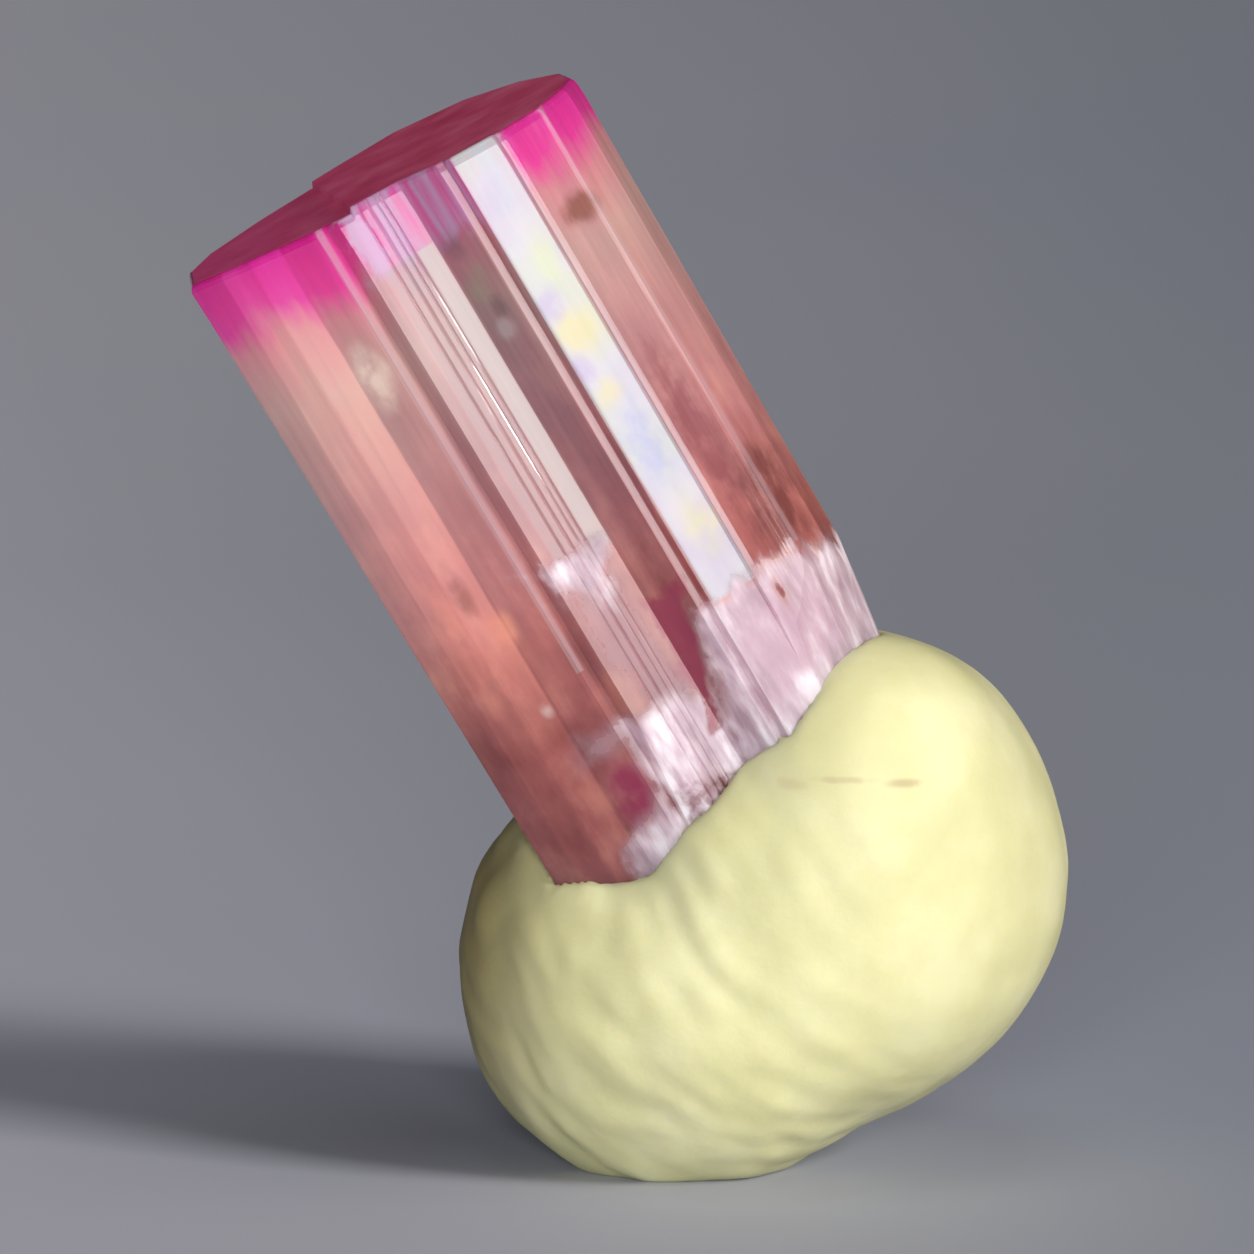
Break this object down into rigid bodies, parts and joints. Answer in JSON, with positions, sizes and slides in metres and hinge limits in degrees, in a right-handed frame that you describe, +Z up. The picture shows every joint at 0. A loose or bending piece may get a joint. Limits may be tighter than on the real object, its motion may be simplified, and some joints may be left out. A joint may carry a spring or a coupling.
{
  "type": "mineral crystal specimen",
  "caption": "Two-coloured tourmaline crystal: a grooved prism with a flat stepped cap, leaning in a ball of mounting putty.",
  "frame": {"origin": "on the surface that the putty rests on, under the middle of the object's bounding box", "axes": "+Z up; the crystal leans to -X and its broad grooved side faces -Y, towards the camera of the picture"},
  "size_m": [0.0146, 0.0097, 0.0184],
  "materials": {
    "crystal": "gloss",
    "putty": "matte"
  },
  "bodies": {
    "root": {"crystal": "crystal", "putty_base": "putty"}
  },
  "joints": []
}
